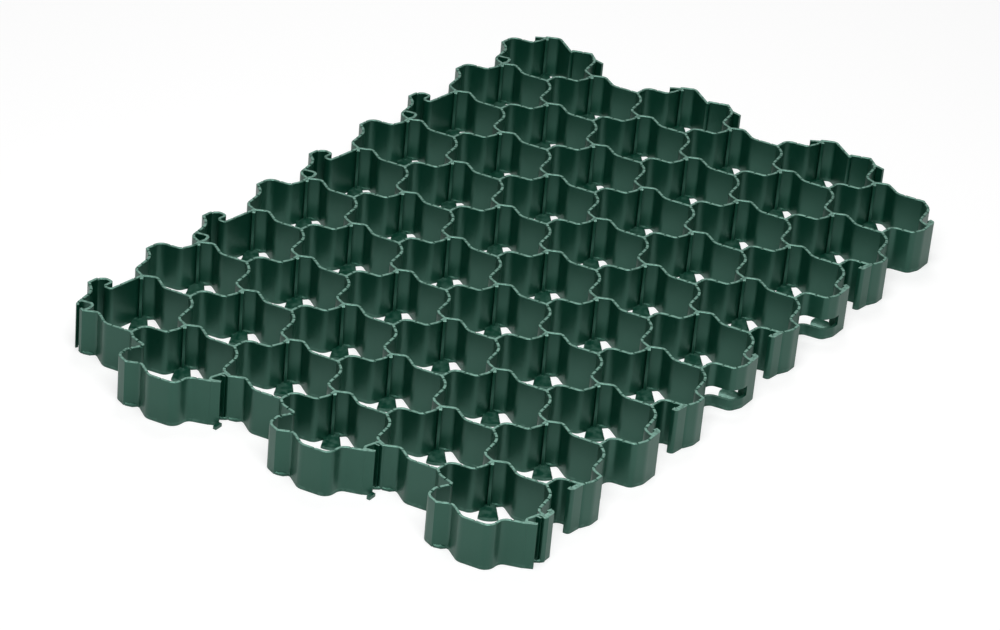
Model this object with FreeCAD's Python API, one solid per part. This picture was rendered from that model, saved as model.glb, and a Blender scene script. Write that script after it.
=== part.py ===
import FreeCAD, Part
import math
import os

from FreeCAD import Vector

os.makedirs("parts", exist_ok=True)

# Grass paver grid: one injection moulded sheet of open cells with S-bent walls.
# X runs along the long side, Y across the columns of cells, Z up from the ground.
# Three walls meet at each junction: at a T junction one wall leaves along +Y,
# at a B junction one wall leaves along -Y.

# Grid layout
pitch = 65.0            # cell spacing along a column
column_step = 65.0      # spacing of neighbouring columns, which are staggered by half a pitch
columns = 6
cells_per_column = 9
height = 35.0           # ground to rim
wall = 2.2              # wall thickness

# Wall bends on the way from a T to a B junction: share of the way, offset to the left of
# the straight line, and radius of the bend on the wall's middle
post_bends = ((0.48, 3.1, 7.0), (0.776, -5.2, 4.5))     # between two cells of one column
rising_bends = ((0.31, 3.5, 15.0), (0.795, -5.7, 6.0))  # from a T junction down to the left
# from a T junction down to the right
falling_bends = ((0.29, 6.2, 7.0), (0.59, -6.0, 5.0), (0.83, -4.4, 0.0))
flat_turn = 62.0        # a bend is set out as flats, each turning this many degrees at most

# Foot under each B junction: a flat tongue into every cell around it
foot_thickness = 2.5
foot_reach = 21.0       # junction to the tongue's tip
foot_root = 9.5         # tongue width at the junction
foot_tip = 14.0         # tongue width at the tip

# Bead: a rib of full height in each cell's corner between its falling wall and its right post
bead_out = 2.0          # B junction to the bead's middle
bead_radius = 1.6
bead_turns = (-90, 0, 90)   # its corners, as degrees from the way to the cell's middle

# Hook on the back long edge: the falling wall is folded round a groove that opens along +X
groove_gap = 3.6        # clear width of the groove
hook_reach = 11.8       # T junction to the middle of the hook's outer side, along X
hook_drop = 11.4        # T junction to the fold above the groove, along Y
hook_inset = 2.4        # T junction to the groove's closed end, along X
hook_bend = 3.0         # bend radius of the folded wall
hook_shoulder = 4.4     # the hook's top corner to its outer side, along X
hook_brow = 0.8         # T junction to the top corner, along Y
hook_cheek = 5.6        # T junction to the outer corner, along Y
hook_slant = 0.5        # how far the folded runs slant out of true

# Eye on the back long edge: a bowed strip that closes a pocket inside the cell
eye_width = 12.7        # B junction to the strip's outer bow, along X
eye_sag = 1.7           # how far the strip sags below the junction
eye_root = 5.4          # wall's lower bend to the strip's upper root, along the wall
eye_brow = 6.4          # B junction to the strip's upper corner, along Y
eye_cheek = 1.8         # B junction to the strip's outer corner, along Y
eye_chin = 4.8          # B junction to the start of the sag, along X
eye_round = 1.8         # how far the strip's lower corner is drawn in
eye_mouth = 4.6         # clear gap in the wall of the corner eye, which opens to the outside

# Left short edge: a clip slot in each falling wall that stands out, a pocket in each rising wall
slot_gap = 3.8          # clear width of the slot's mouth
slot_depth = 8.4        # mouth to the middle of the slot's closed end
slot_setback = 10.2     # B junction to the end of the plate beside the slot
slot_lean = 4.0         # how far the plate leans out from its root to its end
slot_root = 3.6         # thickness of the plate at its root
slot_rise = 1.8         # plate's root to the slot's closed end, along Y
slot_nose = 1.6         # plate's end to the corner at the slot's closed end, along X
slot_jaw = 3.4          # B junction to the slot's inner corner, along Y
tab_foot = 9.0          # length of the flat tab on the ground under the plate's end
tab_width = 5.0         # its width
pocket_depth = 7.2      # depth of the pocket below the straight of the wall
pocket_mouth = 14.6     # its width at the mouth
pocket_floor = 2.6      # its width at the bottom
pocket_lean = 2.6       # how far its steep side leans
pocket_start = 0.6      # share of the run from the T junction to the wall's first bend
pocket_drop = 2.2       # first bend to the far end of its slanting side, along Y
pocket_bend = 1.6       # bend radius of slot and pocket

# Right short edge: a barb in each post that stands out, with a fin and a lip beside it
barb_height = 14.2      # T junction to the barb, along Y
barb_reach = 9.6        # how far the wall draws in above the barb
barb_step = 3.9         # width of the barb
barb_slant = 1.4        # how far the barb's underside slants
fin_root = 7.0          # T junction to the fin's root, along each axis
fin_length = 9.6
fin_lean = 2.0          # how far the fin leans out
lip_root = 2.4          # B junction to the lip's root, along X
lip_height = 7.0        # B junction to the lip's end, along Y
lip_lean = 4.6          # how far the lip leans in

# Plates of the front long edge
plate = 2.1             # thickness of tabs, tails, fins, lips and eye strips
tab_length = 7.6        # tab that runs on past a B junction
tab_hook = 3.0          # its turned-up end
tab_lean = 1.0          # how far that end leans out
tail_length = 9.2       # tail on the falling wall's second bend
tail_rise = 1.2         # how far it rises on the way
tail_hook = 2.6         # its turned-up end

# Windows in the falling walls of two front cells, counted from the right end
window_cells = (2, 4)
window_height = 8.0
window_sill = 8.4       # ground to the window's lower edge
window_margin = 3.4     # wall left standing beside each junction

half = wall / 2.0


def point(ix, iy):
    # junctions and cell middles lie on a raster of half pitches and thirds of a column step
    return Vector(ix * pitch / 2.0, iy * column_step / 3.0, 0)


def unit(v):
    return v * (1.0 / v.Length)


def left_of(v):
    return Vector(-v.y, v.x, 0)


def bent_wall(start, end, bends):
    # middle line of a wall: (point, bend radius), with no radius at the junctions
    run = end - start
    side = left_of(unit(run))
    path = [(start, 0.0)]
    for share, offset, radius in bends:
        path.append((start + run * share + side * offset, radius))
    path.append((end, 0.0))
    return path


def hook_wall(start, end):
    # over the hook, back above the groove, round its closed end and out to the junction
    outer = start.x + hook_reach
    inner = start.x + hook_inset
    fold = start.y - hook_drop
    floor = fold - groove_gap - wall
    path = [
        (Vector(outer - hook_shoulder, start.y - hook_brow, 0), hook_bend),
        (Vector(outer, start.y - hook_cheek, 0), hook_bend),
        (Vector(outer, fold - hook_slant, 0), hook_bend),
        (Vector(inner + hook_slant, fold + hook_slant, 0), hook_bend),
        (Vector(inner, floor, 0), hook_bend),
        (Vector(outer, floor - 3.0 * hook_slant, 0), hook_bend),
    ]
    return [(start, 0.0)] + path + [(end, 0.0)]


def slot_wall(start, end):
    # the falling wall turns in round a slot just before its B junction, and a plate that runs
    # straight on from the turn covers the slot's outer side
    path = bent_wall(start, end, falling_bends[:1])[:-1]
    tip = end.x - slot_setback
    path.append((Vector(tip - slot_lean, end.y + slot_depth - slot_rise, 0), 0.0))
    path.append((Vector(tip + slot_nose, end.y + slot_depth, 0), pocket_bend))
    path.append((Vector(tip + slot_gap + wall, end.y + slot_jaw, 0), pocket_bend))
    return path + [(end, 0.0)]


def pocket_wall(start, end):
    # the rising wall dips into the cell below it: steep beside the T junction, slanting beyond
    path = bent_wall(start, end, rising_bends)
    brink = path[1][0]
    near = start + (brink - start) * pocket_start
    deep = brink.y - pocket_depth
    path[1:2] = [
        (near, pocket_bend),
        (Vector(near.x - pocket_lean, deep, 0), pocket_bend),
        (Vector(near.x - pocket_lean - pocket_floor, deep, 0), pocket_bend),
        (Vector(near.x - pocket_mouth, brink.y - pocket_drop, 0), pocket_bend),
    ]
    return path


def barb_wall(start, end):
    # the post leans out to the barb, steps in and runs on to its upper bend
    path = bent_wall(start, end, post_bends)
    tip = Vector(start.x - barb_reach + barb_step, start.y + barb_height, 0)
    path[1:2] = [(tip, pocket_bend / 2.0), (Vector(tip.x - barb_step, tip.y - barb_slant, 0), pocket_bend)]
    return path


def wall_path(key):
    kind, ix, iy = key
    start = point(ix, iy)
    if kind == "post":
        end = point(ix, iy + 2)
        return barb_wall(start, end) if key in barb_keys else bent_wall(start, end, post_bends)
    if kind == "rising":
        end = point(ix - 1, iy - 1)
        return pocket_wall(start, end) if key in pocket_keys else bent_wall(start, end, rising_bends)
    end = point(ix + 1, iy - 1)
    if key in hook_keys:
        return hook_wall(start, end)
    if key in slot_keys:
        return slot_wall(start, end)
    return bent_wall(start, end, falling_bends)


def offset_ring(ring, distance):
    # corners of a closed middle line, moved to its right by the distance, with the bends as flats
    n = len(ring)
    moved = []
    for i in range(n):
        p, radius = ring[i]
        a = unit(p - ring[i - 1][0])
        b = unit(ring[(i + 1) % n][0] - p)
        miter = (left_of(a) + left_of(b)) * -1.0
        turns_left = a.cross(b).z > 0
        moved.append((p + miter * (2.0 * distance / miter.dot(miter)),
                      max(radius + (distance if turns_left else -distance), 0.0) if radius else 0.0))
    corners = []
    for i in range(n):
        p, radius = moved[i]
        before = moved[i - 1][0]
        after = moved[(i + 1) % n][0]
        corners += flats(before, p, after, radius)
    return corners


def flats(before, p, after, radius):
    # one corner as the ends and inner points of its bend
    a = unit(p - before)
    b = unit(after - p)
    turn = a.getAngle(b)
    if radius < 0.3 or turn < 0.05:
        return [p]
    reach = min(radius * math.tan(turn / 2.0), 0.45 * (p - before).Length, 0.45 * (after - p).Length)
    start = p - a * reach
    end = p + b * reach
    if math.degrees(turn) <= flat_turn:
        return [start, end]
    r = reach / math.tan(turn / 2.0)
    crown = p + unit(b - a) * (r / math.cos(turn / 2.0) - r)
    return [start, crown, end]


def outline(corners):
    return Part.makePolygon(corners + corners[:1])


def prism(corners, z0, z1):
    base = Part.Face(outline(corners))
    base.translate(Vector(0, 0, z0))
    return base.extrude(Vector(0, 0, z1 - z0))


def strip(points, thickness):
    # upright plate of full height along a middle line
    last = len(points) - 1
    left, right = [], []
    for i, p in enumerate(points):
        a = unit(p - points[i - 1]) if i > 0 else unit(points[1] - p)
        b = unit(points[i + 1] - p) if i < last else a
        miter = left_of(a) + left_of(b)
        d = miter * (thickness / miter.dot(miter))
        left.append(p + d)
        right.append(p - d)
    return prism(left + right[::-1], 0, height)


def cell_raster(column, i):
    # columns count from the back edge to the front edge, even ones reach half a pitch further right
    return 2 * i + (1 if column % 2 == 0 else 0), -3 * column


def cell_walls(column, i):
    # clockwise ring of a cell: each wall with its direction of travel, +1 from T to B
    cx, cy = cell_raster(column, i)
    return [
        (("post", cx - 1, cy - 1), 1),
        (("rising", cx, cy + 2), -1),
        (("falling", cx, cy + 2), 1),
        (("post", cx + 1, cy - 1), -1),
        (("rising", cx + 1, cy - 1), 1),
        (("falling", cx - 1, cy - 1), -1),
    ]


def travelled(key, way):
    return paths[key] if way > 0 else paths[key][::-1]


def ring_of(walls):
    ring = []
    for key, way in walls:
        ring += travelled(key, way)[:-1]
    return ring


cells = [(c, i) for c in range(columns) for i in range(cells_per_column)]
front = columns - 1
right = cells_per_column - 1

# Hooks stand on every other cell of the back edge. Odd columns stand out at the left edge
# and carry slots and pockets, even columns stand out at the right edge and carry barbs.
hook_keys = set()
for i in range(0, right, 2):
    cx, cy = cell_raster(0, i)
    hook_keys.add(("falling", cx, cy + 2))
slot_keys = set()
pocket_keys = set()
for c in range(1, columns, 2):
    cx, cy = cell_raster(c, 0)
    slot_keys.add(("falling", cx - 1, cy - 1))
    pocket_keys.add(("rising", cx, cy + 2))
barb_keys = set()
for c in range(0, columns, 2):
    cx, cy = cell_raster(c, right)
    barb_keys.add(("post", cx + 1, cy - 1))

paths = {}
uses = {}
for c, i in cells:
    for key, way in cell_walls(c, i):
        paths.setdefault(key, wall_path(key))
        uses.setdefault(key, []).append(way)

# Walls: the sheet's outline, which is the walls that only one cell uses, less the cells
free = {}
for key, ways in uses.items():
    if len(ways) == 1:
        first = travelled(key, ways[0])[0][0]
        free[(round(first.x, 3), round(first.y, 3))] = (key, ways[0])
loop = []
place = next(iter(free))
for step in range(len(free)):
    key, way = free[place]
    loop.append((key, way))
    last = travelled(key, way)[-1][0]
    place = (round(last.x, 3), round(last.y, 3))
wires = [outline(offset_ring(ring_of(loop), -half))]
for c, i in cells:
    wires.append(outline(offset_ring(ring_of(cell_walls(c, i)), half)))
grid = Part.makeFace(wires, "Part::FaceMakerBullseye").extrude(Vector(0, 0, height))

added = []

# Feet: one tongue for each cell around a B junction
for c, i in cells:
    cx, cy = cell_raster(c, i)
    for ix, iy in ((cx - 1, cy + 1), (cx + 1, cy + 1), (cx, cy - 2)):
        centre = point(ix, iy)
        way = unit(point(cx, cy) - centre)
        side = left_of(way) * 0.5
        tip = centre + way * foot_reach
        corners = [centre - side * foot_root, tip - side * foot_tip, tip + side * foot_tip, centre + side * foot_root]
        added.append(prism(corners, 0, foot_thickness))

# Beads
for c, i in cells:
    cx, cy = cell_raster(c, i)
    centre = point(cx + 1, cy + 1)
    way = unit(point(cx, cy) - centre)
    middle = centre + way * bead_out
    turned = [FreeCAD.Rotation(Vector(0, 0, 1), a).multVec(way) for a in bead_turns]
    added.append(prism([middle + t * bead_radius for t in turned], 0, height))

# Back long edge: an eye inside every other cell, beside its left B junction
for i in range(0, cells_per_column, 2):
    cx, cy = cell_raster(0, i)
    junction = point(cx - 1, cy + 1)
    brow = paths[("rising", cx, cy + 2)]
    top = brow[2][0] + unit(brow[1][0] - brow[2][0]) * eye_root
    added.append(strip([
        top,
        junction + Vector(eye_width - eye_round / 2.0, eye_brow, 0),
        junction + Vector(eye_width, eye_cheek, 0),
        junction + Vector(eye_width - eye_round, eye_round / 2.0 - eye_sag, 0),
        junction + Vector(eye_chin, -eye_sag, 0),
        junction,
    ], plate))

# Left short edge: the tapered plate that covers each slot, and the tab on the ground under its end,
# which the slot at the front corner lacks
for key in sorted(slot_keys):
    root = paths[key][2][0]
    end = paths[key][-1][0] - Vector(slot_setback, 0, 0)
    side = unit(left_of(end - root))
    inner = root + side * (slot_root - half)
    added.append(prism([root - side * half, inner, end + side * half, end - side * half], 0, height))
    if key[2] > cell_raster(front, 0)[1]:
        out = end - Vector(tab_foot, 0, 0)
        low = Vector(0, tab_width, 0)
        added.append(prism([end, out, out - low, end - low], 0, foot_thickness))

# Front long edge: tabs past the B junctions of even cells, tails on the bends of odd cells
for i in range(cells_per_column):
    cx, cy = cell_raster(front, i)
    if i % 2 == 0:
        root = point(cx, cy - 2)
        end = root + Vector(tab_length, 0, 0)
        added.append(strip([root, end, end + Vector(tab_lean, tab_hook, 0)], plate))
    else:
        root = paths[("falling", cx - 1, cy - 1)][2][0]
        end = root + Vector(-tail_length, tail_rise, 0)
        added.append(strip([root, end, end + Vector(0, tail_hook, 0)], plate))

# Right short edge: a fin below each barbed post and a lip above it
for kind, ix, iy in sorted(barb_keys):
    root = point(ix, iy) - Vector(fin_root, fin_root, 0)
    added.append(strip([root + Vector(0, half, 0), root - Vector(fin_lean, fin_length, 0)], plate))
    corner = point(ix, iy + 2) - Vector(lip_root, 0, 0)
    added.append(strip([corner, corner + Vector(-lip_lean, lip_height, 0)], plate))

grid = grid.fuse(added)

# The corner eye's mouth, between the end of its wall and the B junction
cx, cy = cell_raster(0, 0)
bend = paths[("rising", cx, cy + 2)][2][0]
along = unit(point(cx - 1, cy + 1) - bend)
across = left_of(along) * wall
start = bend + along * wall
end = start + along * eye_mouth
grid = grid.cut(prism([start - across, end - across, end + across, start + across], 0, height))

# Windows that follow the falling walls of two front cells
for n in window_cells:
    cx, cy = cell_raster(front, right - n)
    path = [p for p, radius in paths[("falling", cx - 1, cy - 1)]]
    path[0] += unit(path[1] - path[0]) * window_margin
    path[-1] += unit(path[-2] - path[-1]) * window_margin
    hole = strip(path, 3.0 * wall)
    slab = prism([point(cx - 2, cy - 4), point(cx + 2, cy - 4), point(cx + 2, cy + 4), point(cx - 2, cy + 4)],
                 window_sill, window_sill + window_height)
    grid = grid.cut(hole.common(slab))

grid = grid.removeSplitter()
solid = grid.Solids[0]
box = solid.BoundBox
solid.translate(Vector(-(box.XMin + box.XMax) / 2.0, -(box.YMin + box.YMax) / 2.0, -box.ZMin))
print("solids", len(grid.Solids), "valid", solid.isValid(), "faces", len(solid.Faces))
print("size", round(box.XLength, 3), round(box.YLength, 3), round(box.ZLength, 3))
print("raster origin", round(-(box.XMin + box.XMax) / 2.0, 3), round(-(box.YMin + box.YMax) / 2.0, 3))
solid.exportStep("parts/paver_grid.step")
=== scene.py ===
import bpy
import math
from mathutils import Matrix, Quaternion, Vector


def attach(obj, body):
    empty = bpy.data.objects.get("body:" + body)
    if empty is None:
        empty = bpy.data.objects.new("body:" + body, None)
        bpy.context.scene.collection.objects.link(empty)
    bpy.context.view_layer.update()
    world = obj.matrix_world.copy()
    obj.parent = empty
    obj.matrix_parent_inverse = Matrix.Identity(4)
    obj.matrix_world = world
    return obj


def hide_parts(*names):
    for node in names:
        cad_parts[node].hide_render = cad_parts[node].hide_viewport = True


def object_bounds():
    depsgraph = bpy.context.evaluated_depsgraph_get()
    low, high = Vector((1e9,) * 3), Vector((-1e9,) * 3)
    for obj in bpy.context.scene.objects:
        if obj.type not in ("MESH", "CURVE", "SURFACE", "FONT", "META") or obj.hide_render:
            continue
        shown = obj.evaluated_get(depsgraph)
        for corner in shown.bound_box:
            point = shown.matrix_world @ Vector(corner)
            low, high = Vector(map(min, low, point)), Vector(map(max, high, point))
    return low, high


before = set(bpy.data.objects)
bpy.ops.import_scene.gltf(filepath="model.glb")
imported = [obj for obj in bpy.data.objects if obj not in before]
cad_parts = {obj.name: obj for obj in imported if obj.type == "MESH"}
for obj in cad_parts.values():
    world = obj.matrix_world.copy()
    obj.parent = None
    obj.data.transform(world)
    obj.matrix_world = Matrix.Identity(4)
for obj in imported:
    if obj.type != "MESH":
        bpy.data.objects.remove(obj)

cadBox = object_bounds()  # the CAD box, that the sheet is kept inside further down
print("frame loaded", [list(corner) for corner in cadBox])

mm = 0.001  # shapes are drawn in millimetres, the scene is in metres


def hexColour(code):
    # sRGB hex to the linear colour that sockets take
    parts = [int(code[i:i + 2], 16) / 255.0 for i in (1, 3, 5)]
    linear = [c / 12.92 if c <= 0.04045 else ((c + 0.055) / 1.055) ** 2.4 for c in parts]
    return (*linear, 1.0)


def nothingSelected():
    if bpy.context.object and bpy.context.object.mode != "OBJECT":
        bpy.ops.object.mode_set(mode="OBJECT")
    bpy.ops.object.select_all(action="DESELECT")


def selectOnly(*objects):
    nothingSelected()
    for obj in objects:
        obj.select_set(True)
    bpy.context.view_layer.objects.active = objects[0]


def joined(name, objects):
    selectOnly(*objects)
    bpy.ops.object.transform_apply(location=True, rotation=True, scale=True)
    if len(objects) > 1:
        bpy.ops.object.join()
    obj = bpy.context.object
    obj.name = name
    return obj


def welded(obj, reach):
    selectOnly(obj)
    bpy.ops.object.mode_set(mode="EDIT")
    bpy.ops.mesh.select_all(action="SELECT")
    bpy.ops.mesh.remove_doubles(threshold=reach * mm)
    bpy.ops.mesh.normals_make_consistent(inside=False)
    bpy.ops.object.mode_set(mode="OBJECT")


# Layout of the sheet, in millimetres
grid = {
    "pitch": 65.0,               # cell spacing along a column
    "columnStep": 65.0,          # spacing of the staggered columns
    "columns": 6,
    "cells": 9,
    "rim": 35.0,                 # ground to rim
    "zero": (-277.104, 162.827),  # raster zero, seen from the middle of the sheet
}

# Walls: every bend is its share of the way, its offset to the left and its radius
walls = {
    "thick": 2.2,
    "post": ((0.48, 3.1, 7.0), (0.776, -5.2, 4.5)),
    "rising": ((0.31, 3.5, 15.0), (0.795, -5.7, 6.0)),
    "falling": ((0.29, 6.2, 7.0), (0.59, -6.0, 5.0), (0.83, -4.4, 8.0)),
    "bendStep": 9.0,             # degrees from one station of a bend to the next
    "bendShare": 0.45,           # most of a straight run that one bend may take up
    "sharp": 0.05,               # a bend with less turn or radius than this is left sharp
    "straight": 0.02,            # two walls that turn less than this meet without a corner
    "stationGap": 0.06,          # least distance between stations
    "weld": 0.02,                # ends of walls this close become one
    "cutWeld": 0.004,            # and so do points left by the cuts
    "smooth": 32.0,              # degrees below which an edge is shaded round
    "edge": 0.35,                # broken edge along the rim
    "corner": 7.0,               # round corners of the cells that stand out at the left
    "notchWide": 0.9,            # notches moulded into the rim
    "notchSlope": 0.3,
    "postNotches": {"deep": 0.45, "at": (0.13, 0.33, 0.52, 0.70)},
    "risingNotches": {"deep": 0.9, "at": (0.10, 0.26, 0.42, 0.58, 0.72)},
    "fallingNotches": {"deep": 0.5, "at": (0.14, 0.44, 0.66, 0.88)},
    "outerNotches": {"deep": 0.45, "at": (0.10, 0.24, 0.38, 0.54, 0.68)},
}

# Clip shapes folded into the walls of the four edges
clips = {
    "grooveGap": 3.6, "hookReach": 11.8, "hookDrop": 11.4,  # hooks along the back edge
    "hookInset": 2.4, "hookBend": 3.0, "hookSlant": 0.5,
    "hookShoulder": 4.4, "hookBrow": 0.8, "hookCheek": 5.6,
    "slotDepth": 8.6, "slotSetback": 10.2, "slotLean": 4.0, "slotRise": 1.8,  # slots along the left edge
    "slotNose": 0.6, "slotJaw": (0.6, 5.4), "slotFoot": (-0.9, 0.6),
    "pocketDepth": 7.2, "pocketMouth": 14.6, "pocketFloor": 2.6,  # pockets of the same cells
    "pocketLean": 2.6, "pocketStart": 0.6, "pocketDrop": 2.2, "pocketBend": 1.6,
    "barbHeight": 14.2, "barbReach": 9.6, "barbStep": 3.9, "barbSlant": 1.4,  # barbs along the right edge
}


def rasterPoint(ix, iy):
    return Vector((ix * grid["pitch"] / 2.0, iy * grid["columnStep"] / 3.0))


def leftOf(v):
    return Vector((-v.y, v.x))


def bentWall(start, end, bends):
    run = end - start
    side = leftOf(run.normalized())
    path = [(start, 0.0)]
    for share, offset, radius in bends:
        path.append((start + run * share + side * offset, radius))
    return path + [(end, 0.0)]


def hookWall(start, end):
    # over the hook, back above the groove, round its closed end and out to the junction
    outer = start.x + clips["hookReach"]
    inner = start.x + clips["hookInset"]
    fold = start.y - clips["hookDrop"]
    low = fold - clips["grooveGap"] - walls["thick"]
    bend, slant = clips["hookBend"], clips["hookSlant"]
    return [(start, 0.0),
            (Vector((outer - clips["hookShoulder"], start.y - clips["hookBrow"])), bend),
            (Vector((outer, start.y - clips["hookCheek"])), bend),
            (Vector((outer, fold - slant)), bend),
            (Vector((inner + slant, fold + slant)), bend),
            (Vector((inner, low)), bend),
            (Vector((outer, low - 3.0 * slant)), bend),
            (end, 0.0)]


def slotWall(start, end):
    # the falling wall turns in round a slot just before its junction
    path = bentWall(start, end, walls["falling"][:1])[:-1]
    tip = end.x - clips["slotSetback"]
    top = end.y + clips["slotDepth"]
    bend = clips["pocketBend"]
    return path + [(Vector((tip - clips["slotLean"], top - clips["slotRise"])), 0.0),
                   (Vector((tip + clips["slotNose"], top)), bend),
                   (end + Vector(clips["slotJaw"]), bend),
                   (end + Vector(clips["slotFoot"]), bend / 2.0),
                   (end, 0.0)]


def pocketWall(start, end):
    # the rising wall dips into the cell below it: steep where it starts, slanting beyond
    path = bentWall(start, end, walls["rising"])
    brink = path[1][0]
    near = start + (brink - start) * clips["pocketStart"]
    deep = brink.y - clips["pocketDepth"]
    lean, bend = clips["pocketLean"], clips["pocketBend"]
    path[1:2] = [(near, bend),
                 (Vector((near.x - lean, deep)), bend),
                 (Vector((near.x - lean - clips["pocketFloor"], deep)), bend),
                 (Vector((near.x - clips["pocketMouth"], brink.y - clips["pocketDrop"])), bend)]
    return path


def barbWall(start, end):
    # the post leans out to the barb, steps in and runs on to its upper bend
    path = bentWall(start, end, walls["post"])
    tip = Vector((start.x - clips["barbReach"] + clips["barbStep"], start.y + clips["barbHeight"]))
    path[1:2] = [(tip, clips["pocketBend"] / 2.0),
                 (Vector((tip.x - clips["barbStep"], tip.y - clips["barbSlant"])), clips["pocketBend"])]
    return path


def cellRaster(column, i):
    return 2 * i + (1 if column % 2 == 0 else 0), -3 * column


def cellWalls(column, i):
    cx, cy = cellRaster(column, i)
    return [("post", cx - 1, cy - 1), ("rising", cx, cy + 2), ("falling", cx, cy + 2),
            ("post", cx + 1, cy - 1), ("rising", cx + 1, cy - 1), ("falling", cx - 1, cy - 1)]


def specialKeys():
    # which walls carry a clip
    special = {}
    last = grid["cells"] - 1
    for i in range(0, last, 2):
        cx, cy = cellRaster(0, i)
        special[("falling", cx, cy + 2)] = hookWall
    for c in range(grid["columns"]):
        if c % 2:
            cx, cy = cellRaster(c, 0)
            special[("falling", cx - 1, cy - 1)] = slotWall
            special[("rising", cx, cy + 2)] = pocketWall
        else:
            cx, cy = cellRaster(c, last)
            special[("post", cx + 1, cy - 1)] = barbWall
    return special


def wallEnds(key):
    kind, ix, iy = key
    far = {"post": (ix, iy + 2), "rising": (ix - 1, iy - 1), "falling": (ix + 1, iy - 1)}[kind]
    return (ix, iy), far


def wallPaths():
    special = specialKeys()
    paths = {}
    for c in range(grid["columns"]):
        for i in range(grid["cells"]):
            for key in cellWalls(c, i):
                start, end = [rasterPoint(*spot) for spot in wallEnds(key)]
                if key in special:
                    paths[key] = special[key](start, end)
                else:
                    paths[key] = bentWall(start, end, walls[key[0]])
    return paths


def roundedLine(path):
    # middle line of a wall with its bends as arcs of short runs
    line = [path[0][0]]
    for k in range(1, len(path) - 1):
        p, radius = path[k]
        before, after = path[k - 1][0], path[k + 1][0]
        a = (p - before).normalized()
        b = (after - p).normalized()
        turn = a.angle(b)
        if min(turn, radius) < walls["sharp"]:
            line.append(p)
            continue
        room = walls["bendShare"] * min((p - before).length, (after - p).length)
        reach = min(radius * math.tan(turn / 2.0), room)
        r = reach / math.tan(turn / 2.0)
        middle = p + (b - a).normalized() * (r / math.cos(turn / 2.0))
        spoke = p - a * reach - middle
        way = 1.0 if a.x * b.y - a.y * b.x > 0 else -1.0
        steps = max(2, math.ceil(math.degrees(turn) / walls["bendStep"]))
        for s in range(steps + 1):
            line.append(middle + Matrix.Rotation(way * turn * s / steps, 2) @ spoke)
    return line + [path[-1][0]]


def withNotches(line, notches):
    # the line with stations at each notch, and how far the rim drops at every station
    total = sum((line[k + 1] - line[k]).length for k in range(len(line) - 1))
    half, slope, deep = walls["notchWide"] / 2.0, walls["notchSlope"], notches["deep"]
    marks = []
    for share in notches["at"]:
        at = share * total
        marks += [(at - half - slope, 0.0), (at - half, deep), (at + half, deep), (at + half + slope, 0.0)]
    stations = []
    run = 0.0
    for k, p in enumerate(line):
        if k:
            before = line[k - 1]
            length = (p - before).length
            for at, drop in marks:
                if run < at <= run + length:
                    stations.append((before + (p - before) * ((at - run) / length), drop))
            run += length
        inside = any(at * total - half < run < at * total + half for at in notches["at"])
        stations.append((p, deep if inside else 0.0))
    kept = [stations[0]]
    for p, drop in stations[1:-1]:
        if (p - kept[-1][0]).length > walls["stationGap"]:
            kept.append((p, drop))
    return kept + [stations[-1]]


def cornerBetween(a, b, half):
    # where the left side of a wall leaving along a meets the right side of one leaving along b
    la, lb = leftOf(a), leftOf(b)
    det = la.x * lb.y - la.y * lb.x
    if abs(det) < walls["straight"]:
        return la * half
    return Vector(((half * lb.y + half * la.y) / det, (-half * la.x - half * lb.x) / det))


def sideRows(stations, half, startCorners, endCorners):
    # left and right side of a wall at every station
    rows = [startCorners]
    points = [p for p, drop in stations]
    for k in range(1, len(points) - 1):
        a = (points[k] - points[k - 1]).normalized()
        b = (points[k + 1] - points[k]).normalized()
        miter = leftOf(a) + leftOf(b)
        d = miter * (2.0 * half / miter.dot(miter))
        rows.append((points[k] + d, points[k] - d))
    return rows + [endCorners]


def modelWall(stations, outer, inner):
    # a strip of ground plan, pulled up to the rim, with a broken edge and its notches
    n = len(stations)
    nothingSelected()
    bpy.ops.mesh.primitive_grid_add(x_subdivisions=n - 1, y_subdivisions=2, size=1.0)
    wall = bpy.context.object
    wall.name = "wall"
    place = {}
    for v in wall.data.vertices:
        k = round((v.co.x + 0.5) * (n - 1))
        row = round((v.co.y + 0.5) * 2)
        spot = (outer[k][1], stations[k][0], outer[k][0])[row]
        v.co = (spot.x * mm, spot.y * mm, 0.0)
        place[(round(v.co.x, 7), round(v.co.y, 7))] = (k, row)
    bpy.ops.object.mode_set(mode="EDIT")
    bpy.ops.mesh.select_all(action="SELECT")
    for lift in (grid["rim"] - walls["edge"], walls["edge"]):
        bpy.ops.mesh.extrude_region_move(TRANSFORM_OT_translate={"value": (0, 0, lift * mm)})
    bpy.ops.object.mode_set(mode="OBJECT")
    ends = {}
    for v in wall.data.vertices:
        k, row = place[(round(v.co.x, 7), round(v.co.y, 7))]
        ends[v.index] = k
        if v.co.z > 0.5 * grid["rim"] * mm:
            if v.co.z > (grid["rim"] - 0.5 * walls["edge"]) * mm:
                spot = (inner[k][1], stations[k][0], inner[k][0])[row]
                v.co.x, v.co.y = spot.x * mm, spot.y * mm
            v.co.z -= stations[k][1] * mm
    # the two ends stay open, because the next walls close them
    bpy.ops.object.mode_set(mode="EDIT")
    bpy.ops.mesh.select_mode(type="FACE")
    bpy.ops.mesh.select_all(action="DESELECT")
    bpy.ops.object.mode_set(mode="OBJECT")
    for face in wall.data.polygons:
        spots = set(ends[i] for i in face.vertices)
        face.select = spots == {0} or spots == {n - 1}
    bpy.ops.object.mode_set(mode="EDIT")
    bpy.ops.mesh.delete(type="FACE")
    bpy.ops.object.mode_set(mode="OBJECT")
    return wall


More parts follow.
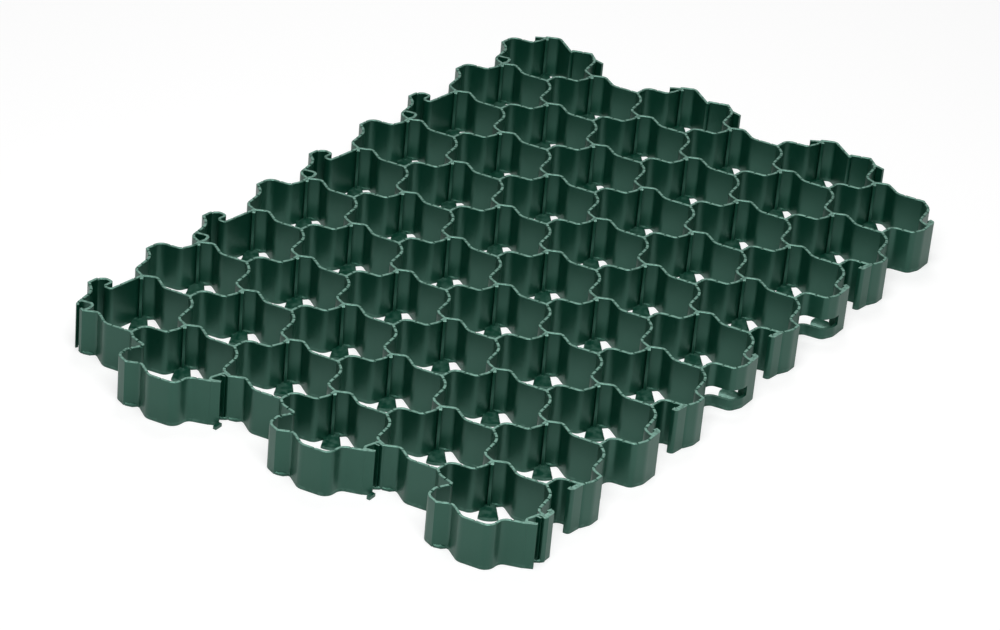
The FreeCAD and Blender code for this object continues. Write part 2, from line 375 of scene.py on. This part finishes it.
def outerRuns(paths):
    # every wall with its two junctions; at the left, post and falling wall run on as one
    runs = {key: (path, wallEnds(key)) for key, path in paths.items()}
    for c in range(1, grid["columns"], 2):
        cx, cy = cellRaster(c, 0)
        post, postEnds = runs.pop(("post", cx - 1, cy - 1))
        falling, fallingEnds = runs.pop(("falling", cx - 1, cy - 1))
        path = post[:0:-1] + [(post[0][0], walls["corner"])] + falling[1:]
        runs[("outer", cx - 1, cy - 1)] = (path, (postEnds[1], fallingEnds[1]))
    return runs


def buildWalls():
    paths = wallPaths()
    runs = outerRuns(paths)
    lines = {key: roundedLine(path) for key, (path, ends) in runs.items()}
    leaving = {}  # at each junction, the directions in which walls leave
    for key, line in lines.items():
        start, end = runs[key][1]
        leaving.setdefault(start, []).append((line[1] - line[0]).normalized())
        leaving.setdefault(end, []).append((line[-2] - line[-1]).normalized())
    for junction in leaving:
        leaving[junction].sort(key=lambda d: math.atan2(d.y, d.x))

    def cornersAt(junction, way, half):
        # corner on the left and on the right of a wall that leaves a junction
        around = leaving[junction]
        k = min(range(len(around)), key=lambda i: (around[i] - way).length)
        centre = rasterPoint(*junction)
        left = centre + cornerBetween(way, around[(k + 1) % len(around)], half)
        right = centre + cornerBetween(around[k - 1], way, half)
        return left, right

    half = walls["thick"] / 2.0
    modelled = {}
    copies = []
    for key, line in lines.items():
        start, end = runs[key][1]
        stations = withNotches(line, walls[key[0] + "Notches"])
        home = rasterPoint(*start)
        sides = []
        for reach in (half, half - walls["edge"]):
            first = cornersAt(start, (line[1] - line[0]).normalized(), reach)
            right, left = cornersAt(end, (line[-2] - line[-1]).normalized(), reach)
            rows = sideRows(stations, reach, first, (left, right))
            sides.append([(a - home, b - home) for a, b in rows])
        stations = [(p - home, drop) for p, drop in stations]
        stamp = tuple(round(c, 3) for rows in sides for pair in rows for p in pair for c in p)
        if stamp not in modelled:
            modelled[stamp] = modelWall(stations, *sides)
            wall = modelled[stamp]
        else:
            wall = modelled[stamp].copy()
            wall.data = modelled[stamp].data.copy()
            bpy.context.collection.objects.link(wall)
        copies.append((wall, home))
    for wall, home in copies:
        wall.location = ((home.x + grid["zero"][0]) * mm, (home.y + grid["zero"][1]) * mm, 0.0)
    print("walls modelled", len(modelled), "placed", len(copies))
    return joined("paverGrid", [wall for wall, home in copies]), paths


sheet, paths = buildWalls()
welded(sheet, walls["weld"])
print("walls welded, faces", len(sheet.data.polygons))

# Floor tongues, three in every cell, from every other junction towards its middle
tongues = {
    "corners": ((-1, 1), (1, 1), (0, -2)),  # raster steps from the middle of the cell
    "thick": 2.5,
    "reach": 21.0,
    "neck": 4.0,                 # width at the junction itself
    "neckLong": 0.2,             # share of the reach in which the neck widens to the root
    "root": 9.5,
    "tip": 14.0,
    "bow": 0.10,                 # share of the reach by which the corners of the tip fall back
    "rows": 10,                  # faces along and across
    "across": 6,
    "crown": 0.7,                # drop at the two sides
    "ridge": 0.35,               # drop of every other row
}


def tongueWidth(along):
    wide = tongues["root"] + (tongues["tip"] - tongues["root"]) * along
    return wide - (tongues["root"] - tongues["neck"]) * max(0.0, 1.0 - along / tongues["neckLong"])


def modelTongue():
    # along +X from the junction: wider and rounded towards its tip
    nothingSelected()
    rows = tongues["rows"]
    bpy.ops.mesh.primitive_grid_add(x_subdivisions=rows, y_subdivisions=tongues["across"], size=1.0)
    tongue = bpy.context.object
    tongue.name = "tongue"
    for v in tongue.data.vertices:
        along, side = v.co.x + 0.5, 2.0 * v.co.y
        bow = 1.0 - tongues["bow"] * side * side * along
        v.co = (along * bow * tongues["reach"] * mm, 0.5 * side * tongueWidth(along) * mm, 0.0)
    bpy.ops.object.mode_set(mode="EDIT")
    bpy.ops.mesh.select_all(action="SELECT")
    bpy.ops.mesh.extrude_region_move(TRANSFORM_OT_translate={"value": (0, 0, tongues["thick"] * mm)})
    bpy.ops.mesh.select_all(action="SELECT")
    bpy.ops.mesh.normals_make_consistent(inside=False)
    bpy.ops.object.mode_set(mode="OBJECT")
    for v in tongue.data.vertices:
        if v.co.z > 0.5 * tongues["thick"] * mm:
            along = v.co.x / (tongues["reach"] * mm)
            side = v.co.y / (0.5 * tongueWidth(along) * mm)
            ridge = tongues["ridge"] * (round(along * rows) % 2)
            v.co.z -= (tongues["crown"] * side ** 4 + ridge) * mm
    return tongue


# Upright rib in one corner of every cell
beads = {"corner": (1, 1), "reach": 5.6, "wide": 2.3, "edge": 0.4, "belowRim": 0.15}


def modelBead():
    # flat in front, with broken edges up its two sides and along its top
    nothingSelected()
    size = Vector((beads["reach"], beads["wide"], grid["rim"] - beads["belowRim"])) * mm
    bpy.ops.mesh.primitive_cube_add(size=1.0, location=(0.5 * size.x, 0.0, 0.5 * size.z), scale=size)
    bead = bpy.context.object
    bead.name = "bead"
    bpy.ops.object.transform_apply(location=True, scale=True)
    bpy.ops.object.mode_set(mode="EDIT")
    bpy.ops.mesh.select_mode(type="EDGE")
    bpy.ops.mesh.select_all(action="DESELECT")
    bpy.ops.object.mode_set(mode="OBJECT")
    for edge in bead.data.edges:
        ends = [bead.data.vertices[i].co for i in edge.vertices]
        front = all(end.x > 0.5 * size.x for end in ends)
        edge.select = front and any(end.z > 0.5 * size.z for end in ends)
    bpy.ops.object.mode_set(mode="EDIT")
    bpy.ops.mesh.bevel(offset=beads["edge"] * mm, segments=2, affect="EDGES")
    bpy.ops.object.mode_set(mode="OBJECT")
    return bead


def placedInCells(name, first, corner):
    # one copy in every cell, all at the same corner of the cell and turned to its middle
    placed = []
    for c in range(grid["columns"]):
        for i in range(grid["cells"]):
            cx, cy = cellRaster(c, i)
            root = rasterPoint(cx + corner[0], cy + corner[1])
            way = rasterPoint(cx, cy) - root
            part = first.copy()
            part.data = first.data.copy()
            bpy.context.collection.objects.link(part)
            part.rotation_euler = (0.0, 0.0, math.atan2(way.y, way.x))
            part.location = ((root.x + grid["zero"][0]) * mm, (root.y + grid["zero"][1]) * mm, 0.0)
            placed.append(part)
    bpy.data.objects.remove(first)
    return joined(name, placed)


def merged(target, tool, operation):
    # boolean of two closed meshes, applied, and the tool taken away
    selectOnly(target)
    cut = target.modifiers.new("merge", "BOOLEAN")
    cut.operation = operation
    cut.solver = "MANIFOLD"
    cut.object = tool
    bpy.ops.object.modifier_apply(modifier=cut.name)
    bpy.data.objects.remove(tool)


for corner in tongues["corners"]:
    merged(sheet, placedInCells("tongues", modelTongue(), corner), "UNION")
merged(sheet, placedInCells("beads", modelBead(), beads["corner"]), "UNION")
print("tongues and beads on, faces", len(sheet.data.polygons))

# Plates of the four edges, and the mouth of the eye at the left corner
plates = {
    "thick": 2.1, "bend": 1.2,
    "eyeWide": 11.0, "eyeSag": 1.7, "eyeRoot": 5.4, "eyeBrow": 5.5,  # eyes along the back edge
    "eyeCheek": 1.6, "eyeChin": 4.8, "eyeRound": 1.8, "eyeMouth": 4.6,
    "slotRoot": 3.6, "ribRoot": (-3.0, 7.0), "ribTip": (-2.9, 2.0), "ribThick": 1.2,  # covers of the slots
    "groundLong": 6.5, "groundWide": 2.6, "groundThick": 2.5,  # tabs on the ground beside two slots
    "frontThick": 3.6, "tabLong": 7.6, "tabHook": 3.0, "tabLean": 1.0,  # tabs and tails along the front edge
    "tailLong": 9.2, "tailRise": 1.2, "tailHook": 2.6,
    "finRoot": 7.0, "finLong": 9.6, "finLean": 2.0,  # fins and lips along the right edge
    "lipRoot": 2.4, "lipHigh": 7.0, "lipLean": 4.6,
}


def modelPlate(points, thick, low, high):
    # upright plate along a middle line, with one thickness or one for each point
    n = len(points)
    wide = thick if isinstance(thick, tuple) else (thick,) * n
    nothingSelected()
    bpy.ops.mesh.primitive_grid_add(x_subdivisions=n - 1, y_subdivisions=1, size=1.0)
    plate = bpy.context.object
    plate.name = "plate"
    rows = []
    for k, p in enumerate(points):
        a = (p - points[k - 1]).normalized() if k else (points[1] - p).normalized()
        b = (points[k + 1] - p).normalized() if k < n - 1 else a
        miter = leftOf(a) + leftOf(b)
        d = miter * (wide[k] / miter.dot(miter))
        rows.append((p - d, p + d))
    for v in plate.data.vertices:
        spot = rows[round((v.co.x + 0.5) * (n - 1))][round(v.co.y + 0.5)]
        v.co = ((spot.x + grid["zero"][0]) * mm, (spot.y + grid["zero"][1]) * mm, low * mm)
    bpy.ops.object.mode_set(mode="EDIT")
    bpy.ops.mesh.select_all(action="SELECT")
    bpy.ops.mesh.extrude_region_move(TRANSFORM_OT_translate={"value": (0, 0, (high - low) * mm)})
    bpy.ops.mesh.select_all(action="SELECT")
    bpy.ops.mesh.normals_make_consistent(inside=False)
    bpy.ops.object.mode_set(mode="OBJECT")
    return plate


def bentLine(points):
    # a plate's middle line with its corners rounded
    return roundedLine([(p, plates["bend"]) for p in points])


def eyeLine(i):
    # a strip that closes an eye inside a cell of the back edge
    cx, cy = cellRaster(0, i)
    junction = rasterPoint(cx - 1, cy + 1)
    brow = paths[("rising", cx, cy + 2)]
    top = brow[2][0] + (brow[1][0] - brow[2][0]).normalized() * plates["eyeRoot"]
    wide, sag, drawn = plates["eyeWide"], plates["eyeSag"], plates["eyeRound"]
    return bentLine([top,
                     junction + Vector((wide - drawn / 2.0, plates["eyeBrow"])),
                     junction + Vector((wide, plates["eyeCheek"])),
                     junction + Vector((wide - drawn, drawn / 2.0 - sag)),
                     junction + Vector((plates["eyeChin"], -sag)),
                     junction])


def frontLine(i):
    # tabs past the junctions of even cells, tails on the bends of odd cells
    cx, cy = cellRaster(grid["columns"] - 1, i)
    inset = Vector((0.0, (plates["frontThick"] - plates["thick"]) / 2.0))
    if i % 2 == 0:
        root = rasterPoint(cx, cy - 2) + inset
        end = root + Vector((plates["tabLong"], 0.0))
        return bentLine([root, end, end + Vector((plates["tabLean"], plates["tabHook"]))])
    root = paths[("falling", cx - 1, cy - 1)][2][0] + inset
    end = root + Vector((-plates["tailLong"], plates["tailRise"]))
    return bentLine([root, end, end + Vector((0.0, plates["tailHook"]))])


def barbLines(c):
    # the fin below a barbed post and the lip above it
    cx, cy = cellRaster(c, grid["cells"] - 1)
    foot = rasterPoint(cx + 1, cy - 1) - Vector((plates["finRoot"], plates["finRoot"]))
    inWall = foot + Vector((0.0, walls["thick"] / 2.0))
    corner = rasterPoint(cx + 1, cy + 1) - Vector((plates["lipRoot"], 0.0))
    return [[inWall, foot - Vector((plates["finLean"], plates["finLong"]))],
            [corner, corner + Vector((-plates["lipLean"], plates["lipHigh"]))]]


def slotPlates(c):
    # tapered plate with a free end that covers a slot of the left edge, the rib behind it, and its end
    cx, cy = cellRaster(c, 0)
    path = paths[("falling", cx - 1, cy - 1)]
    root, corner = path[2][0], path[-1][0]
    end = corner - Vector((clips["slotSetback"], 0.0))
    inward = leftOf(end - root).normalized() * ((plates["slotRoot"] - walls["thick"]) / 2.0)
    cover = modelPlate([root + inward, end], (plates["slotRoot"], walls["thick"]), 0.0, grid["rim"])
    ribLine = [corner + Vector(plates["ribRoot"]), corner + Vector(plates["ribTip"])]
    return cover, modelPlate(ribLine, plates["ribThick"], 0.0, grid["rim"]), end


rim = grid["rim"]
thinLines = [eyeLine(i) for i in range(0, grid["cells"], 2)]
for c in range(0, grid["columns"], 2):
    thinLines += barbLines(c)
edgePlates = [modelPlate(line, plates["thick"], 0.0, rim) for line in thinLines]
edgePlates += [modelPlate(frontLine(i), plates["frontThick"], 0.0, rim) for i in range(grid["cells"])]
groundTabs = []
for c in range(1, grid["columns"], 2):
    cover, rib, end = slotPlates(c)
    edgePlates += [cover, rib]
    if c < grid["columns"] - 1:  # the slot at the front corner has no tab
        side = end - Vector((0.0, plates["groundWide"] / 2.0))
        far = side - Vector((plates["groundLong"], 0.0))
        groundTabs.append(modelPlate([side, far], plates["groundWide"], 0.0, plates["groundThick"]))
merged(sheet, joined("edgePlates", edgePlates), "UNION")
merged(sheet, joined("groundTabs", groundTabs), "UNION")
print("edge plates on, faces", len(sheet.data.polygons))

# Windows of two front cells, counted from the right; cutters are thicker than the wall and stand past it
windows = {"cells": (2, 4), "sill": 8.4, "high": 8.0, "margin": 3.4, "cutter": 3.0 * walls["thick"]}
mouth = {"cutter": 2.0 * walls["thick"], "past": 1.0}


def mouthLine():
    # across the corner eye's wall, between its lower bend and the junction
    cx, cy = cellRaster(0, 0)
    bend = paths[("rising", cx, cy + 2)][2][0]
    along = (rasterPoint(cx - 1, cy + 1) - bend).normalized()
    start = bend + along * walls["thick"]
    return [start, start + along * plates["eyeMouth"]]


def windowLine(n):
    cx, cy = cellRaster(grid["columns"] - 1, grid["cells"] - 1 - n)
    path = [p for p, radius in paths[("falling", cx - 1, cy - 1)]]
    path[0] = path[0] + (path[1] - path[0]).normalized() * windows["margin"]
    path[-1] = path[-1] + (path[-2] - path[-1]).normalized() * windows["margin"]
    return path


lintel = windows["sill"] + windows["high"]
cuts = [modelPlate(windowLine(n), windows["cutter"], windows["sill"], lintel) for n in windows["cells"]]
cuts.append(modelPlate(mouthLine(), mouth["cutter"], -mouth["past"], rim + mouth["past"]))
merged(sheet, joined("cuts", cuts), "DIFFERENCE")
welded(sheet, walls["cutWeld"])


def keptInside(obj, low, high):
    # round bends stand a hair outside the CAD's flats, so the whole sheet is drawn in by as much
    for axis in range(3):
        spots = [v.co[axis] for v in obj.data.vertices]
        if min(spots) < low[axis] or max(spots) > high[axis]:
            middle, reach = (low[axis] + high[axis]) / 2.0, (high[axis] - low[axis]) / 2.0
            share = reach / max(middle - min(spots), max(spots) - middle)
            for v in obj.data.vertices:
                v.co[axis] = middle + (v.co[axis] - middle) * share
            print("drawn in along axis", axis, "by", share)


keptInside(sheet, *cadBox)
selectOnly(sheet)
bpy.ops.object.shade_smooth_by_angle(angle=math.radians(walls["smooth"]))
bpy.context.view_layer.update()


def addNode(tree, kind, links=(), **settings):
    # one node with its settings, and links given as (input, socket that feeds it)
    node = tree.nodes.new(kind)
    for key, value in settings.items():
        if hasattr(node, key):
            setattr(node, key, value)
        else:
            node.inputs[key.replace("_", " ")].default_value = value
    for name, socket in links:
        tree.links.new(socket, node.inputs[name])
    return node


# Patterns of the moulded skin, in millimetres
skin = {
    "cloud": 30.0,               # clouds in the pigment
    "patch": 4.0,                # paler patches low down, on the tongues
    "patchFade": 0.5,            # height in which they end above the tongues
    "rimWearAndLight": 2.5,                # patches of wear and of painted top light along the rim
    "rimStart": 0.4,             # depth below the top at which the pale rim starts
    "rimFull": 0.05,             # and at which it is full
    "streak": 1.5,               # width of the draw marks up the walls
    "streakRise": 0.04,          # width of a draw mark as a share of its length
    "grain": 0.8,                # grit of the mould
    "relief": 0.05,              # height of marks and grit
}
mixA, mixB, mixOut = 6, 7, 2  # the colour sockets of a Mix node


def mouldedPolyethylene():
    # Dark green HDPE, injection moulded: a waxy satin skin with faint draw marks up the walls,
    # slightly cloudy colour, and a paler rim, partly wear where the mould parts and sheets rub and partly
    # painted top light
    material = bpy.data.materials.new("mouldedPolyethylene")
    material.use_nodes = True
    tree = material.node_tree
    shader = tree.nodes["Principled BSDF"]
    shader.inputs["IOR"].default_value = 1.54
    shader.inputs["Specular IOR Level"].default_value = 1.0  # a waxy skin shines more than the bare plastic
    shader.inputs["Specular Tint"].default_value = hexColour("#beffea")  # its sheen keeps some of the green
    place = addNode(tree, "ShaderNodeTexCoord").outputs["Object"]

    # cloudy pigment
    cloud = addNode(tree, "ShaderNodeTexNoise", [("Vector", place)],
                    Scale=1.0 / (skin["cloud"] * mm), Detail=3.0)
    body = addNode(tree, "ShaderNodeMix", [("Factor", cloud.outputs["Fac"])], data_type="RGBA")
    body.inputs[mixA].default_value = hexColour("#043526")
    body.inputs[mixB].default_value = hexColour("#083c2d")

    # everything up to the tongues' height above the ground, the tongue tops with it, gets paler patches
    height = addNode(tree, "ShaderNodeSeparateXYZ", [("Vector", place)]).outputs["Z"]
    low = addNode(tree, "ShaderNodeMapRange", [("Value", height)],
                  From_Min=(tongues["thick"] + skin["patchFade"]) * mm, From_Max=tongues["thick"] * mm)
    patch = addNode(tree, "ShaderNodeTexNoise", [("Vector", place)],
                    Scale=1.0 / (skin["patch"] * mm), Detail=3.0)
    patches = addNode(tree, "ShaderNodeMapRange", [("Value", patch.outputs["Fac"])],
                      From_Min=0.42, From_Max=0.66)
    paleLowPatches = addNode(tree, "ShaderNodeMath", [(0, low.outputs["Result"]), (1, patches.outputs["Result"])],
                     operation="MULTIPLY")
    foot = addNode(tree, "ShaderNodeMix", [("Factor", paleLowPatches.outputs[0]), (mixA, body.outputs[mixOut])],
                   data_type="RGBA")
    # colour of the paler patches low down
    foot.inputs[mixB].default_value = hexColour("#385a4e")

    # the rim, also known by its height, is pale in patches: partly real scuffing, partly painted top light
    top = addNode(tree, "ShaderNodeMapRange", [("Value", height)],
                  From_Min=(grid["rim"] - skin["rimStart"]) * mm,
                  From_Max=(grid["rim"] - skin["rimFull"]) * mm)
    rimWearAndLight = addNode(tree, "ShaderNodeTexNoise", [("Vector", place)],
                    Scale=1.0 / (skin["rimWearAndLight"] * mm), Detail=4.0)
    rimWearAndLightPatches = addNode(tree, "ShaderNodeMapRange", [("Value", rimWearAndLight.outputs["Fac"])],
                      From_Min=0.36, From_Max=0.56, To_Min=0.2)
    wornAndLitRim = addNode(tree, "ShaderNodeMath", [(0, top.outputs["Result"]), (1, rimWearAndLightPatches.outputs["Result"])],
                   operation="MULTIPLY")
    colour = addNode(tree, "ShaderNodeMix", [("Factor", wornAndLitRim.outputs[0]), (mixA, foot.outputs[mixOut])],
                     data_type="RGBA")
    # pale rim colour: part wear, part painted highlight standing in for the light from above
    colour.inputs[mixB].default_value = hexColour("#6d9486")
    tree.links.new(colour.outputs[mixOut], shader.inputs["Base Color"])

    # draw marks that run up the wall change the gloss, and with the grit they give a faint relief
    stretched = addNode(tree, "ShaderNodeMapping", [("Vector", place)], Scale=(1.0, 1.0, skin["streakRise"]))
    streak = addNode(tree, "ShaderNodeTexNoise", [("Vector", stretched.outputs["Vector"])],
                     Scale=1.0 / (skin["streak"] * mm), Detail=2.0)
    gloss = addNode(tree, "ShaderNodeMapRange", [("Value", streak.outputs["Fac"])], To_Min=0.28, To_Max=0.42)
    tree.links.new(gloss.outputs["Result"], shader.inputs["Roughness"])
    grain = addNode(tree, "ShaderNodeTexNoise", [("Vector", place)],
                    Scale=1.0 / (skin["grain"] * mm), Detail=2.0)
    relief = addNode(tree, "ShaderNodeMath", [(0, streak.outputs["Fac"]), (1, grain.outputs["Fac"])],
                     operation="ADD")
    bump = addNode(tree, "ShaderNodeBump", [("Height", relief.outputs[0])],
                   Strength=0.12, Distance=skin["relief"] * mm)
    tree.links.new(bump.outputs["Normal"], shader.inputs["Normal"])
    return material


sheet.data.materials.clear()
sheet.data.materials.append(mouldedPolyethylene())
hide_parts("paver_grid")
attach(sheet, "root")
print("sheet finished")

# White studio floor, in metres: the camera sees a share of it as glowing paper
ground = {"wide": 12.0, "below": 0.0002, "glow": 0.5, "strength": 1.28}


def studioFloor():
    # Matt white paper: white to the eye, with a weak shadow, and a true bounce for the sheet
    material = bpy.data.materials.new("mattWhitePaper")
    material.use_nodes = True
    tree = material.node_tree
    shader = tree.nodes["Principled BSDF"]
    shader.inputs["Base Color"].default_value = hexColour("#f2f2f2")
    shader.inputs["Roughness"].default_value = 0.9
    glow = addNode(tree, "ShaderNodeEmission", Strength=ground["strength"])
    path = addNode(tree, "ShaderNodeLightPath")
    share = addNode(tree, "ShaderNodeMath", [(0, path.outputs["Is Camera Ray"])], operation="MULTIPLY")
    share.inputs[1].default_value = ground["glow"]
    mix = addNode(tree, "ShaderNodeMixShader",
                  [(0, share.outputs[0]), (1, shader.outputs[0]), (2, glow.outputs[0])])
    tree.links.new(mix.outputs[0], tree.nodes["Material Output"].inputs["Surface"])
    nothingSelected()
    bpy.ops.mesh.primitive_plane_add(size=ground["wide"], location=(0.0, 0.0, -ground["below"]))
    floor = bpy.context.object
    floor.name = "studioFloor"
    bpy.ops.object.transform_apply(location=True)
    floor.data.materials.append(material)


studioFloor()

# Camera of the photograph: long lens from the front left corner
shot = {"lens": 131.03, "sensor": 36.0, "azimuth": -148.388, "elevation": 30.549, "roll": 5.42,
        "target": (-0.06, -0.0221, 0.0175), "distance": 2.612}


def towards(azimuth, elevation):
    a, e = math.radians(azimuth), math.radians(elevation)
    return Vector((math.cos(e) * math.cos(a), math.cos(e) * math.sin(a), math.sin(e)))


def photoCamera():
    way = towards(shot["azimuth"], shot["elevation"])
    data = bpy.data.cameras.new("photoCamera")
    data.sensor_width = shot["sensor"]
    data.sensor_fit = "HORIZONTAL"
    data.lens = shot["lens"]
    camera = bpy.data.objects.new("photoCamera", data)
    bpy.context.collection.objects.link(camera)
    camera.location = Vector(shot["target"]) + way * shot["distance"]
    turn = way.to_track_quat("Z", "Y") @ Quaternion((0.0, 0.0, 1.0), math.radians(shot["roll"]))
    camera.rotation_euler = turn.to_euler()
    bpy.context.scene.camera = camera


photoCamera()

# Soft studio light: a wide soft box high on the camera's side and a weaker one from behind
lamps = {
    "overhead": {"azimuth": -150.0, "elevation": 64.0, "distance": 1.8, "size": 1.5, "watts": 27.0},
    "back": {"azimuth": 31.0, "elevation": 60.0, "distance": 2.4, "size": 1.2, "watts": 16.0},
}
sky = {"colour": "#ffffff", "strength": 0.02, "seen": 0.5}  # "seen" by the camera and in reflections


def studioLight():
    for name, lamp in lamps.items():
        way = towards(lamp["azimuth"], lamp["elevation"])
        data = bpy.data.lights.new(name, "AREA")
        data.shape = "DISK"
        data.size = lamp["size"]
        data.energy = lamp["watts"]
        light = bpy.data.objects.new(name, data)
        bpy.context.collection.objects.link(light)
        light.location = way * lamp["distance"]
        light.rotation_euler = way.to_track_quat("Z", "Y").to_euler()
    world = bpy.data.worlds.new("studio")
    world.use_nodes = True
    tree = world.node_tree
    back = tree.nodes["Background"]
    back.inputs["Color"].default_value = hexColour(sky["colour"])
    path = addNode(tree, "ShaderNodeLightPath")
    seen = addNode(tree, "ShaderNodeMath",
                   [(0, path.outputs["Is Camera Ray"]), (1, path.outputs["Is Glossy Ray"])],
                   operation="MAXIMUM")
    strength = addNode(tree, "ShaderNodeMapRange", [("Value", seen.outputs[0])],
                       To_Min=sky["strength"], To_Max=sky["seen"])
    tree.links.new(strength.outputs["Result"], back.inputs["Strength"])
    bpy.context.scene.world = world


studioLight()
bpy.context.scene.view_settings.view_transform = "Standard"
print("floor, camera and light set")
